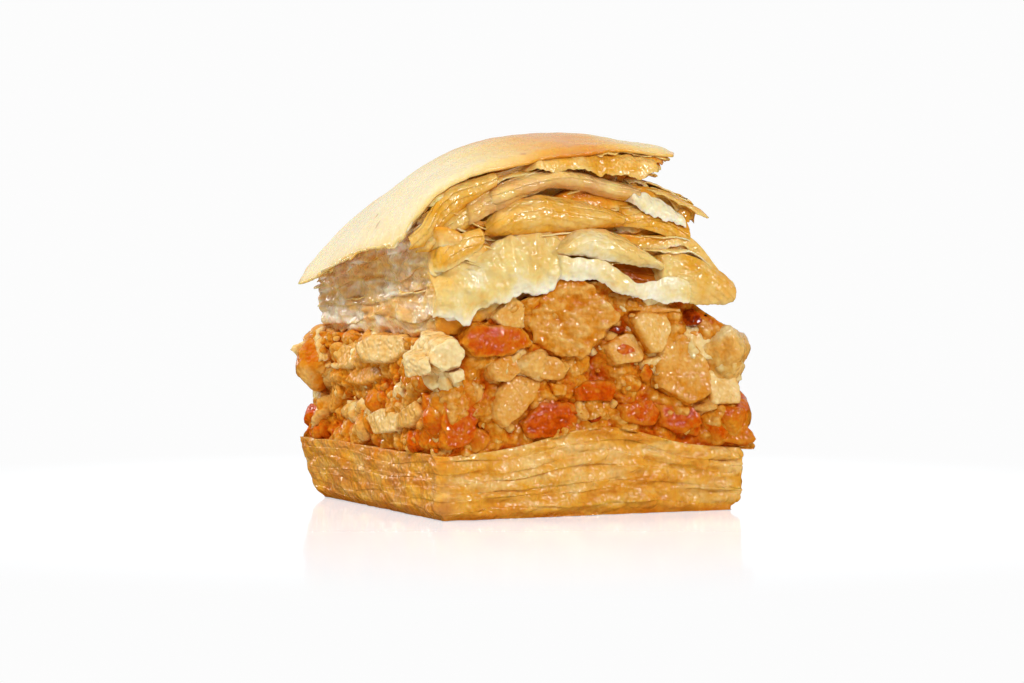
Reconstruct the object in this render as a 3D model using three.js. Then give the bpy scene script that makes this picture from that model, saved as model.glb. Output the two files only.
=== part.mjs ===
// A square-cut piece of baklava: a syrup-soaked stack of filo at the bottom, a layer of chopped
// nuts in the middle, and a domed stack of filo on top whose sheets have parted into three groups.
// Millimetres, +Z up. X runs along the front cut and Y away from it. The origin is the centre of the
// piece's bounding box, on the surface that it stands on.

import * as THREE from "three";
import { mergeVertices } from "three/addons/utils/BufferGeometryUtils.js";

// ---- Driving dimensions ----
const cutSide = 43; // between two knife cuts
const half = cutSide / 2;
const layerGap = 0.3; // left between one layer and the next

const corner = {
  pull: 0.03, // how far an upright edge is drawn in, as a share of its distance from the centre
  sharpness: 12, // how close to the edge the drawing in begins
};

const base = {
  edgeHeight: 8, // at the corners
  humpHeight: 3.2, // how far the middle of the front cut swells above that
  humpMiddle: 1,
  humpWidth: 10,
  humpAtBack: 0.4, // the part of the swelling that is left at the back cut
  waviness: 0.2,
  footRounding: 0.7,
  footHeight: 0.25, // the share of the layer's height that the rounding takes
  ridges: 3, // bands of stuck sheets that show at a cut
  ridgeDepth: 0.25,
  leftFlare: 2, // the left cut leans out towards the back
  color: 0xd9a050,
};

const filling = {
  inset: 0.5, // set back from the cut, on average
  lumpDepth: 0.8,
  lumpsAlongSide: 5,
  lumpsUp: 6,
  toeHeight: 0.3, // the share of the layer's height that a toe takes
  rightToe: 2.2, // a caramelised lump that stands out at the foot of the right cut
  leftToe: 2.4,
  leftShoulder: 2.6, // nuts pushed out under the top pastry, at the back of the left cut
  shoulderHeight: 0.8,
  shoulderWidth: 0.2,
  rightSlump: 4.2, // how far the nuts fall away from the pastry that overhangs their right end
  slumpStart: 11,
  color: 0xc98a4a,
};

const top = {
  undersideLeft: 22.6,
  undersideMiddle: 29.4,
  undersideRight: 26.6,
  undersideBack: 25.6,
  undersideWaviness: 0.3,
  skinLeftFront: 32.4, // height of the baked skin along its pressed-down left edge
  skinLeftBack: 28.8,
  crown: 48.2, // the highest point of the dome
  crownFront: 46, // the dome along the front cut
  crownBack: 46.4,
  crownDroop: 0.9, // how far the dome has come down again at its right end
  steepFront: 5, // how suddenly the dome rises from its left edge
  steepBack: 2.5,
  leftOverhangFront: 3.4,
  leftOverhangBack: 3.8,
  tipReach: [20, 17, 13.8], // where the sheets of each group end on the right, lowest group first
  tipSetback: [1.6, 3.6, 5.4], // how much shorter the lowest sheet of a group is than its highest
  tipHeight: [29, 36.6, 45], // the height of each group's highest sheet at its end
  tipStart: 3, // from here to the right, the sheets bend towards their tips
  levels: [5, 4, 5], // mesh steps in each group, lowest group first
  frontReach: [0.5, -0.9, -2.4],
  backReach: [0.3, -0.6, -1.4],
  lean: 0.8, // the sheets of a group reach further towards its highest one
  raggedness: 0.4,
  color: 0xeec27c,
};

// ---- Small helpers ----
const lerp = THREE.MathUtils.lerp;
const smooth = THREE.MathUtils.smoothstep;
const share = (t) => (t + 1) / 2; // from -1..1 to 0..1
const bell = (t, width) => Math.exp(-((t / width) ** 2));

// An uneven wave without a clear period, from -1 to 1.
function wander(a, b, phase) {
  return (
    0.5 * Math.sin(a + phase) +
    0.3 * Math.sin(1.7 * a - 1.3 * b + 2.1 * phase) +
    0.2 * Math.sin(2.9 * b + 0.6 * a + 3.7 * phase)
  );
}

// A cube of -1..1 by -1..1 by 0..1, gridded and closed, with every vertex moved by place(u, v, w).
function layer(name, color, roughness, across, up, place) {
  const cube = new THREE.BoxGeometry(2, 2, 1, across, across, up);
  cube.translate(0, 0, 0.5);
  cube.deleteAttribute("normal");
  cube.deleteAttribute("uv");
  const geometry = mergeVertices(cube);
  const position = geometry.attributes.position;
  for (let i = 0; i < position.count; i++) {
    const [u, v, w] = [position.getX(i), position.getY(i), position.getZ(i)];
    position.setXYZ(i, ...place(u, v, w));
  }
  geometry.computeVertexNormals();
  const material = new THREE.MeshStandardMaterial({ color, roughness, metalness: 0 });
  const mesh = new THREE.Mesh(geometry, material);
  mesh.name = name;
  return mesh;
}

// A point between two opposite cuts. Each cut is its distance from the centre line.
function between(u, v, { left, right, front, back }) {
  const pull = 1 - corner.pull * Math.abs(u * v) ** corner.sharpness;
  return [lerp(-left, right, share(u)) * pull, lerp(-front, back, share(v)) * pull];
}

// ---- Heights of the surfaces between the layers ----
function baseTop(x, y) {
  const fade = lerp(1, base.humpAtBack, smooth(y, -half, half));
  const hump = base.humpHeight * bell(x - base.humpMiddle, base.humpWidth) * fade;
  return base.edgeHeight + hump + base.waviness * wander(0.4 * x, 0.3 * y, 1);
}

function topUnderside(x, y) {
  const rise = smooth(x, -half, -3);
  const fall = smooth(x, 0, half);
  const middle = lerp(top.undersideMiddle, top.undersideBack, smooth(y, -half / 2, half));
  const height = lerp(lerp(top.undersideLeft, middle, rise), top.undersideRight, fall);
  return height + top.undersideWaviness * wander(0.35 * x, 0.3 * y, 2);
}

function skin(x, y) {
  const depth = smooth(y, -half, half);
  const bulge = 1 - (y / half) ** 2;
  const crownEdge = lerp(top.crownFront, top.crownBack, depth);
  const crown = lerp(crownEdge, top.crown, Math.max(0, bulge));
  const edge = lerp(top.skinLeftFront, top.skinLeftBack, depth);
  const steep = lerp(top.steepFront, top.steepBack, depth);
  const leftEdge = -half - top.leftOverhangFront;
  const along = THREE.MathUtils.clamp((x - leftEdge) / (top.tipReach[2] - leftEdge), 0, 1);
  const droop = top.crownDroop * smooth(along, 0.7, 1);
  return lerp(edge, crown, 1 - (1 - along) ** steep) - droop;
}

// ---- The three layers ----
function basePoint(u, v, w) {
  const foot = base.footRounding * (1 - smooth(w, 0, base.footHeight));
  const bands = 2 * Math.PI * base.ridges * w;
  const cut = (a, phase) =>
    half - foot + base.ridgeDepth * (Math.sin(bands + phase + a) + wander(3 * a, 5 * w, phase));
  const [x, y] = between(u, v, {
    left: cut(v, 0) + base.leftFlare * w * smooth(v, -0.6, 1),
    right: cut(v, 2),
    front: cut(u, 4),
    back: cut(u, 5),
  });
  return [x, y, w * baseTop(x, y)];
}

function fillingPoint(u, v, w) {
  const cut = (a, phase) =>
    half -
    filling.inset +
    filling.lumpDepth * wander(filling.lumpsAlongSide * a, filling.lumpsUp * w, phase);
  const toe = 1 - smooth(w, 0, filling.toeHeight);
  const shoulder = filling.leftShoulder * bell(w - filling.shoulderHeight, filling.shoulderWidth);
  const [x, y] = between(u, v, {
    left: cut(v, 1) + (filling.leftToe * toe + shoulder) * smooth(v, 0, 1),
    right: cut(v, 3) + filling.rightToe * toe * (1 - smooth(v, -1, 0.4)),
    front: cut(u, 5),
    back: cut(u, 7),
  });
  const slump = filling.rightSlump * smooth(x, filling.slumpStart, half);
  const ceiling = topUnderside(x, y) - layerGap - slump;
  return [x, y, lerp(baseTop(x, y) + layerGap, ceiling, w)];
}

// Which group of sheets a level of the top pastry is in, and how far up that group it lies.
function groupAt(level) {
  let group = 0;
  let start = 0;
  while (group < top.levels.length - 1 && level > start + top.levels[group]) {
    start += top.levels[group];
    group += 1;
  }
  return { group, within: (level - start) / top.levels[group] };
}

const topLevels = top.levels.reduce((sum, n) => sum + n);

function topPoint(u, v, w) {
  const { group, within } = groupAt(Math.round(w * topLevels));
  const lean = top.lean * (1 - within);
  const ragged = (a, phase) => top.raggedness * wander(4 * a, 4 * w, phase);
  const overhang = lerp(top.leftOverhangFront, top.leftOverhangBack, share(v));
  const setback = top.tipSetback[group] * (1 - within);
  const [x, y] = between(u, v, {
    left: half + overhang * smooth(w, 0, 0.7) - lean / 2 + ragged(v, 1),
    right: top.tipReach[group] - setback + ragged(v, 4),
    front: half + top.frontReach[group] - lean + ragged(u, 6),
    back: half + top.backReach[group] - lean + ragged(u, 8),
  });
  const underside = topUnderside(x, y);
  const height = lerp(underside, skin(x, y), w);
  const tipFloor = group ? top.tipHeight[group - 1] : underside;
  const tip = lerp(tipFloor, top.tipHeight[group], within);
  return [x, y, lerp(height, tip, smooth(x, top.tipStart, top.tipReach[group]))];
}

const baklava = new THREE.Group();
baklava.add(
  layer("base_pastry", base.color, 0.3, 18, 6, basePoint),
  layer("nut_filling", filling.color, 0.45, 20, 9, fillingPoint),
  layer("top_pastry", top.color, 0.4, 22, topLevels, topPoint),
);

// The origin goes under the middle of the whole piece.
const middle = new THREE.Box3().setFromObject(baklava, true).getCenter(new THREE.Vector3());
baklava.position.set(-middle.x, -middle.y, 0);

export default baklava;
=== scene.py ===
# %% [markdown]
# # A cut piece of baklava
#
# A piece of tray baklava is three things stacked up: a dense foot of filo sheets soaked in syrup,
# a bed of chopped nuts stuck together with caramel, and a risen lid of filo whose baked top sheet
# shines like varnish. This lesson makes each one from a simple shape that is shaped by a function.
#
# The measured model of the piece is loaded first. Its three solids say how big each layer is, and
# every detailed piece below takes the place of one of them.

import bmesh
import bpy
import numpy as np
from mathutils import Euler, Matrix, Vector, noise


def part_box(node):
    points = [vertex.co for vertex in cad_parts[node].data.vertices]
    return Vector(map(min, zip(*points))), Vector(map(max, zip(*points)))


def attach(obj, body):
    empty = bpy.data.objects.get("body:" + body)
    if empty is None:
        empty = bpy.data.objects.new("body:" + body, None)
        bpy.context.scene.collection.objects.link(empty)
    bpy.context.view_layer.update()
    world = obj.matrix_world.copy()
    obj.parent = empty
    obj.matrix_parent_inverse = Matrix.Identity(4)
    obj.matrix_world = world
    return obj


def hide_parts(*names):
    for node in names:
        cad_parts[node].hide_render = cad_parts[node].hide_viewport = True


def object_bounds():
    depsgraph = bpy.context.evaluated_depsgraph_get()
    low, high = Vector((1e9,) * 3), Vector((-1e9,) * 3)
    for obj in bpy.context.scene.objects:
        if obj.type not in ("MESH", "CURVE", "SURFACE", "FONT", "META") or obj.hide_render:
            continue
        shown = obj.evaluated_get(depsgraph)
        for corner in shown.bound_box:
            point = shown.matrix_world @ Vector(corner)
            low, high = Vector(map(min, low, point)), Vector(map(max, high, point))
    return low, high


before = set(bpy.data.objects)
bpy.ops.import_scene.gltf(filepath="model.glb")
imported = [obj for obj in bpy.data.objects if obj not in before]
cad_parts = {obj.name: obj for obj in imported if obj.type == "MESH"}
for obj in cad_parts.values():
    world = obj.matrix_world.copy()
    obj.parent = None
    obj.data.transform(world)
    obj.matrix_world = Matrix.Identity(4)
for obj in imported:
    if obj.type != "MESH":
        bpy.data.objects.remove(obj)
cad_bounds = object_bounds()
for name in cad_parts:
    low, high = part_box(name)
    print(name, "is", [round(1000 * side, 1) for side in high - low], "mm")

# %% [markdown]
# ## A place to work in
#
# Food is small, so it is easier to think of it in millimetres. The work is done around the middle
# of the square that the knife cut, with X to the right along the front cut, Y away from it and Z
# up. One matrix takes a finished piece from there into the measured model's own metres.

# %% The middle of the cut square
CUT_SIDE = 43.0
HALF = CUT_SIDE / 2
CUT_BULGE = 0.45

foot_low, foot_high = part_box("base_pastry")
middle = Vector((foot_high.x - (HALF + CUT_BULGE) / 1000, (foot_low.y + foot_high.y) / 2, foot_low.z))
TO_ROW = Matrix.Translation(middle) @ Matrix.Scale(0.001, 4)
print("the middle of the cut square is at", [round(1000 * value, 2) for value in middle], "mm")

# %% [markdown]
# ## Small tools for shaping
#
# Three curves do most of the shaping: a straight blend, an S-shaped blend and a bell. Blender's own
# noise gives everything that is uneven. It is always read at a real size, so that a lump of 2 mm
# stays a lump of 2 mm on every piece.

# %% Blends, bells and noise
def lerp(low, high, share):
    return low + (high - low) * share


def ease(value, start, end):
    share = np.clip((value - start) / (end - start), 0, 1)
    return share * share * (3 - 2 * share)


def bell(distance, width):
    return np.exp(-((distance / width) ** 2))


def wander(points, size, seed, octaves=1):
    """Smooth noise from about -1 to 1 at each point, with hills about `size` mm apart."""
    spots = (np.asarray(points, float) / size + (17.3 * seed, 5.1 * seed, 31.7 * seed)).tolist()
    if octaves == 1:
        return 1.6 * np.array([noise.noise(spot) for spot in spots])
    return 1.3 * np.array([noise.fractal(spot, 1.0, 2.0, octaves) for spot in spots])


def grain_height(points, size):
    """Round grains about `size` mm across: 1 at a grain's middle and 0 between grains."""
    nearest = [noise.voronoi(spot)[0][0] for spot in (points / size).tolist()]
    return np.clip(1.1 - np.array(nearest) ** 2 * 1.6, 0, 1)


# %% [markdown]
# A piece is shaped by reading all its vertices into one array, moving them with a formula and
# writing them back. When it is done it is turned into an object: its normals are made to point
# outwards, it is moved into the model's metres and hung under the piece's root, and the measured
# solid it stands for, if any, is hidden. What a formula knows about a vertex, such as how browned
# it is, is kept as an attribute for its material.

# %% Reading, writing and finishing a mesh
def read(vertices):
    return np.array([vertex.co for vertex in vertices])


def write(vertices, points):
    for vertex, point in zip(vertices, points.tolist()):
        vertex.co = point


def finish(bm, name, material, attributes=None, replaces=(), thickness=0.0):
    bmesh.ops.recalc_face_normals(bm, faces=bm.faces[:])
    bmesh.ops.transform(bm, matrix=TO_ROW, verts=bm.verts[:])
    mesh = bpy.data.meshes.new(name)
    bm.to_mesh(mesh)
    bm.free()
    mesh.shade_smooth()
    mesh.materials.append(material)
    for key, values in (attributes or {}).items():
        layer = mesh.attributes.new(key, "FLOAT", "POINT")
        layer.data.foreach_set("value", np.asarray(values, np.float32))
    piece = bpy.data.objects.new(name, mesh)
    bpy.context.scene.collection.objects.link(piece)
    if thickness:
        shell = piece.modifiers.new("thickness", "SOLIDIFY")
        shell.thickness = thickness / 1000
        shell.offset = 0
    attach(piece, "root")
    for node in replaces:
        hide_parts(node)
    print(name, "has", len(mesh.polygons), "faces")
    return piece


# %% [markdown]
# ## A class for shader sums
#
# A material's colours are worked out by nodes. Wrapping an output socket in a small class lets a
# sum such as `1 - wet * 0.5` be written as it is, and each sign in it becomes a Math node.

# %% Wires that can be added and multiplied
class Wire:
    """An output socket of a material's node tree."""

    def __init__(self, tree, socket):
        self.tree = tree
        self.socket = socket

    def node(self, kind, settings=None, inputs=None, output=0):
        """Adds any node: its settings come first, then the values or wires of its inputs."""
        made = self.tree.nodes.new(kind)
        for key, value in (settings or {}).items():
            if key == "stops":
                set_stops(made.color_ramp, value)
            else:
                setattr(made, key, value)
        for key, value in (inputs or {}).items():
            if isinstance(value, Wire):
                self.tree.links.new(value.socket, made.inputs[key])
            else:
                made.inputs[key].default_value = value
        return Wire(self.tree, made.outputs[output])

    def math(self, operation, *values, clamp=False):
        settings = {"operation": operation, "use_clamp": clamp}
        return self.node("ShaderNodeMath", settings, dict(enumerate(values)))

    def __add__(self, other):
        return self.math("ADD", self, other)

    def __sub__(self, other):
        return self.math("SUBTRACT", self, other)

    def __rsub__(self, other):
        return self.math("SUBTRACT", other, self)

    def __mul__(self, other):
        return self.math("MULTIPLY", self, other)

    __radd__ = __add__
    __rmul__ = __mul__

    def clamped(self):
        return self.math("ADD", self, 0, clamp=True)

    def between(self, start, end):
        """0 up to start, 1 from end, and smooth between them."""
        settings = {"interpolation_type": "SMOOTHSTEP"}
        inputs = {"Value": self, "From Min": start, "From Max": end}
        return self.node("ShaderNodeMapRange", settings, inputs)

    def noise(self, size, detail=3.0, roughness=0.5):
        """Noise with hills `size` mm apart, from 0 to 1. It is read at this vector."""
        inputs = {"Vector": self, "Scale": 1000 / size, "Detail": detail, "Roughness": roughness}
        return self.node("ShaderNodeTexNoise", None, inputs, output="Fac")

    def stretched(self, across, up):
        """This vector, with patterns drawn out `across` times in X and Y and `up` times in Z."""
        scale = (1 / across, 1 / across, 1 / up)
        return self.node("ShaderNodeMapping", None, {"Vector": self, "Scale": scale})

    def colours(self, stops):
        return self.node("ShaderNodeValToRGB", {"stops": stops}, {0: self})

    def mix(self, first, second, blend="MIX"):
        """Two colours mixed by this wire."""
        settings = {"data_type": "RGBA", "blend_type": blend}
        return self.node("ShaderNodeMix", settings, {0: self, 6: first, 7: second}, output=2)


def set_stops(ramp, stops):
    while len(ramp.elements) < len(stops):
        ramp.elements.new(0.5)
    for element, (position, colour) in zip(ramp.elements, stops):
        element.position = position
        element.color = colour


def srgb(red, green, blue):
    """A colour as a screen shows it, from 0 to 255, turned into the light that it stands for."""
    levels = np.array((red, green, blue)) / 255
    light = np.where(levels <= 0.04045, levels / 12.92, ((levels + 0.055) / 1.055) ** 2.4)
    return (*light.tolist(), 1.0)


def new_material(name, settings):
    """A material with one Principled shader. What doesn't vary over it is set on its own sockets."""
    material = bpy.data.materials.new(name)
    material.use_nodes = True
    tree = material.node_tree
    shader = tree.nodes["Principled BSDF"]
    for key, value in settings.items():
        shader.inputs[key].default_value = value
    place = Wire(tree, tree.nodes.new("ShaderNodeTexCoord").outputs["Object"])
    return material, shader, place


def connect(shader, wires):
    for key, wire in wires.items():
        wire.tree.links.new(wire.socket, shader.inputs[key])


def gaps(place, reach, samples=6):
    """1 deep in a gap and 0 in the open: how much of what is within `reach` mm blocks the light."""
    inputs = {"Distance": reach / 1000}
    return 1 - place.node("ShaderNodeAmbientOcclusion", {"samples": samples}, inputs, output="AO")


def attribute(place, name):
    return place.node("ShaderNodeAttribute", {"attribute_name": name}, output="Fac")


def bumps(height, distance):
    """A normal from a height of 0 to 1 that stands for `distance` mm."""
    inputs = {"Height": height, "Distance": distance / 1000, "Strength": 1.0}
    return height.node("ShaderNodeBump", None, inputs)


# %% [markdown]
# ## The finish of filo
#
# Baked filo is thin dough that light goes into and comes out of again warmer. Cream where it is
# dry, gold where butter browned it, and amber in the gaps, partly syrup that gathered there and
# partly painted shade. Subsurface light with a long red reach does the glow. Where syrup lies on
# it the surface is smoother, with a thin clear coat. Its dimples are half a millimetre and more
# apart: each then gives one crisp glint, and finer ones would blur into a grey haze.

# %% Filo material
FILO_STOPS = [
    (0.0, srgb(252, 237, 208)),
    (0.25, srgb(240, 203, 128)),
    (0.5, srgb(230, 162, 50)),
    (0.75, srgb(208, 116, 16)),
    (1.0, srgb(160, 66, 2)),
]
ROSE = srgb(216, 158, 100)
# A darker, wetter pink for the foot, darker partly as painted shade on its left face.
WET_ROSE_AND_SHADE = srgb(196, 130, 72)
SPECK = srgb(150, 84, 30)
# Amber for the gaps: partly syrup gathered there, partly painted shade.
SYRUP_AND_GAP_SHADE = srgb(216, 128, 20)


def filo_material(name, bump, wetness=1.0, mottled=1.0, specks=0.0, pooled_and_shaded=0.48, rosy=ROSE):
    """The three sizes in `bump` are mm of height: of thin layers, of fine grain and of dimples."""
    settings = {
        "Subsurface Weight": 0.3,
        "Subsurface Radius": (1.0, 0.42, 0.12),
        "Subsurface Scale": 0.0014,
        "Specular IOR Level": 0.45,
        "Coat Roughness": 0.05,
        "Coat IOR": 1.5,
    }
    material, shader, place = new_material(name, settings)
    toast = attribute(place, "toast")
    wet = attribute(place, "wet")
    rose = attribute(place, "rose")
    patches = (place.noise(4.0) - 0.5) * (0.3 * mottled)
    mottle = (place.noise(0.8, detail=4) - 0.5) * (0.26 * mottled)
    blush = place.noise(2.6, detail=2).between(0.3, 0.65) * rose * 0.75
    colour = blush.mix((toast + patches + mottle).clamped().colours(FILO_STOPS), rosy)
    speck = place.noise(1.6, detail=1).between(0.74, 0.79) * specks
    colour = speck.mix(colour, SPECK)
    # The occlusion mask paints the gaps amber: partly syrup gathered there, partly painted shade.
    colour = (gaps(place, 1.4).between(0.35, 1.0) * pooled_and_shaded).mix(colour, SYRUP_AND_GAP_SHADE)
    layers, grain, dimples = bump
    height = place.stretched(5.0, 1.0).noise(0.5, detail=1) * layers
    height = height + place.noise(0.5, detail=0) * grain
    height = height + place.noise(1.3, detail=1) * dimples
    wet_here = (wet * wetness * place.noise(1.6, detail=3).between(0.3, 0.56)).clamped()
    connect(
        shader,
        {
            "Base Color": colour,
            "Roughness": 0.3 - wet_here * 0.19,
            "Coat Weight": wet_here * 0.15,
            "Normal": bumps(height, 1.0),
        },
    )
    return material


filo_leaf = filo_material("filo_leaf", bump=(0.08, 0.1, 0.34))
filo_cut = filo_material("filo_cut", bump=(0.12, 0.14, 0.2))
filo_skin = filo_material("filo_skin", bump=(0, 0.01, 0), wetness=0.4, mottled=0.45, specks=0.5, pooled_and_shaded=0.2)
filo_soaked = filo_material("filo_soaked", bump=(0.12, 0.16, 0.6), pooled_and_shaded=0.35, rosy=WET_ROSE_AND_SHADE)
print("filo has", len(FILO_STOPS), "shades")

# %% [markdown]
# ## The finish of nuts and caramel
#
# Each chopped face of a nut took the heat differently, so every vertex carries its own tone: cream
# inside, tan, golden, orange where caramel stained it, and red-brown where it burned. They are wet
# all over, so their roughness is low everywhere and the bumps break up the glints.

# %% Nut and caramel materials
NUT_STOPS = [
    (0.0, srgb(240, 214, 154)),
    (0.25, srgb(226, 172, 88)),
    (0.5, srgb(210, 130, 26)),
    (0.75, srgb(200, 76, 0)),
    (1.0, srgb(104, 18, 0)),
]
# Orange for the gaps between nuts: partly caramel gathered there, partly painted shade.
CARAMEL_AND_GAP_SHADE = srgb(190, 84, 0)


def nut_material(name, wetness, grain):
    settings = {
        "Subsurface Weight": 0.15,
        "Subsurface Radius": (1.0, 0.4, 0.12),
        "Subsurface Scale": 0.001,
        "Specular IOR Level": 0.4,
    }
    material, shader, place = new_material(name, settings)
    tone = attribute(place, "tone")
    patches = (place.noise(3.0) - 0.5) * 0.32
    mottle = (place.noise(0.6, detail=4) - 0.5) * 0.36
    # Sharp convex edges, found by pointiness, are made paler.
    sharp_edges = place.node("ShaderNodeNewGeometry", output="Pointiness").between(0.51, 0.6)
    shade = (tone + patches + mottle - sharp_edges * 0.12).clamped()
    # The occlusion mask paints the gaps caramel orange: partly caramel gathered there, partly painted
    # shade.
    stained_and_shaded = gaps(place, 1.8).between(0.5, 1.0) * 0.8
    height = place.noise(0.5, detail=0) * grain + place.noise(1.3, detail=1) * 0.36
    wet_here = (place.noise(1.3, detail=3).between(0.34, 0.56) * wetness + tone * 0.3).clamped()
    connect(
        shader,
        {
            "Base Color": stained_and_shaded.mix(shade.colours(NUT_STOPS), CARAMEL_AND_GAP_SHADE),
            "Roughness": 0.2 - wet_here * 0.1,
            "Normal": bumps(height, 1.0),
        },
    )
    return material


chopped_nut = nut_material("chopped_nut", wetness=0.9, grain=0.24)
caramel = nut_material("caramel", wetness=1.0, grain=0.34)
print("nuts have", len(NUT_STOPS), "shades")

# %% [markdown]
# ## Going round the cut
#
# The foot, the filling and the lid are all square stacks, so they share one way of being made: a
# drum with many small faces on its wall, whose vertices are moved from the drum's round wall to the
# square cut. A vertex keeps two numbers, how far round the piece it is and how high up its layer.

# %% A drum, and the way from round to square
def drum(steps, levels, cap_rings=6):
    """A closed drum of radius 1 and height 1."""
    bm = bmesh.new()
    bmesh.ops.create_circle(bm, cap_ends=True, segments=steps, radius=1)
    made = bmesh.ops.extrude_face_region(bm, geom=bm.faces[:])
    top = [part for part in made["geom"] if isinstance(part, bmesh.types.BMVert)]
    bmesh.ops.translate(bm, verts=top, vec=(0, 0, 1))
    upright = [edge for edge in bm.edges if abs(edge.verts[0].co.z - edge.verts[1].co.z) > 0.5]
    bmesh.ops.subdivide_edges(bm, edges=upright, cuts=levels - 1)
    for _ in range(cap_rings):
        caps = [face for face in bm.faces if len(face.verts) > 4]
        bmesh.ops.inset_individual(bm, faces=caps, thickness=1 / (cap_rings + 1))
    bmesh.ops.poke(bm, faces=[face for face in bm.faces if len(face.verts) > 4])
    return bm


def around(points):
    """How far round (0 to 1, from the middle of the right side), how far out, and how high."""
    turn = np.arctan2(points[:, 1], points[:, 0]) / (2 * np.pi)
    return turn % 1, np.hypot(points[:, 0], points[:, 1]), points[:, 2]


def square(turn):
    """The point at that share of the way round the square of -1..1."""
    sides = (4 * turn + 0.5) % 4
    side = np.floor(sides).astype(int)
    along = 2 * (sides % 1) - 1
    one = np.ones_like(along)
    return np.choose(side, [one, -along, -one, along]), np.choose(side, [along, one, -along, -one])


def round_corner(x, y, corner_x, corner_y, radius):
    """Draws points near a sharp corner onto a round one."""
    across = np.clip(1 - np.abs(corner_x - x) / radius, 0, 1)
    along = np.clip(1 - np.abs(corner_y - y) / radius, 0, 1)
    size = np.maximum(np.hypot(across, along), 1e-6)
    pull = radius * (1 - np.maximum(across, along) / size)
    return x - np.sign(corner_x) * across * pull, y - np.sign(corner_y) * along * pull


def round_corners(x, y, radius):
    for corner_x, corner_y in ((-HALF, -HALF), (HALF, -HALF), (HALF, HALF), (-HALF, HALF)):
        x, y = round_corner(x, y, corner_x, corner_y, radius)
    return x, y


def outwards(outline, turn, level):
    """The level direction straight out of an outline, at each share of the way round it."""
    ahead = np.stack(outline(turn + 0.004, level))
    behind = np.stack(outline(turn - 0.004, level))
    step = ahead - behind
    step /= np.maximum(np.hypot(*step), 1e-6)
    return step[1], -step[0]


# %% [markdown]
# ## Sheets that hang over each other
#
# A cut through filo is not a pile of pages. Each sheet's edge is soft, hangs down a little and
# hides the gap under it, and here and there it is stuck to the next one. So the wall of a drum is
# divided into sheets, and each sheet into rows: from the gap out to the drooping lip, and then up
# its face to the next gap. Noise opens and closes the gaps along the cut.

# %% The rows of one sheet
ROWS = 9
ROW_RISE = np.array((0, 0, 0.03, 0.1, 0.24, 0.4, 0.56, 0.72, 0.87, 1))
ROW_OUT = np.array((-1, -0.25, 0.85, 1, 0.92, 0.75, 0.52, 0.27, 0, -1))
ROW_HANG = np.array((0, 0.6, 1, 0.95, 0.7, 0.45, 0.25, 0.12, 0.04, 0))
ROW_GAP = np.array((1, 0.8, 0.1, 0, 0, 0, 0, 0.05, 0.3, 1))
ROW_LIP = np.array((0, 0, 1, 1, 0.6, 0.25, 0.1, 0, 0, 0))


def sheet_and_row(level, sheets):
    step = np.rint(level * sheets * ROWS).astype(int)
    sheet = np.minimum(step // ROWS, sheets - 1)
    return sheet, step - sheet * ROWS


def along_cut(turn, number):
    """A place for noise that runs along the cut, different for every sheet or gap."""
    u, v = square(turn)
    return np.stack([u * HALF, v * HALF, 17.0 * number], axis=1)


# %% [markdown]
# ## The soaked foot
#
# Twenty or so sheets of filo, soaked in syrup and pressed by everything above, have become one wet
# block. Its cut shows seven long wavy bands of sheets stuck together, and the narrow gaps between
# them. Small dents and bumps all over it catch the light, and the nuts have stained its hump.

# %% The surfaces of the foot
FOOT_EDGE = 8.0
FOOT_HUMP = 3.2
HUMP_MIDDLE = 1.0
HUMP_WIDTH = 10.0
FOOT_SHEETS = 7


def foot_top(x, y):
    fade = lerp(1, 0.4, ease(y, -HALF, HALF))
    points = np.stack([x, y, np.zeros_like(x)], axis=1)
    return FOOT_EDGE + FOOT_HUMP * bell(x - HUMP_MIDDLE, HUMP_WIDTH) * fade + 0.25 * wander(points, 9.0, 1)


def foot_outline(turn, level):
    u, v = square(turn)
    flare = 2.0 * level * ease(v, -0.6, 1)
    x = np.where(u < 0, u * (HALF + flare), u * HALF)
    return round_corners(x, v * HALF, 1.8)


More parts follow.
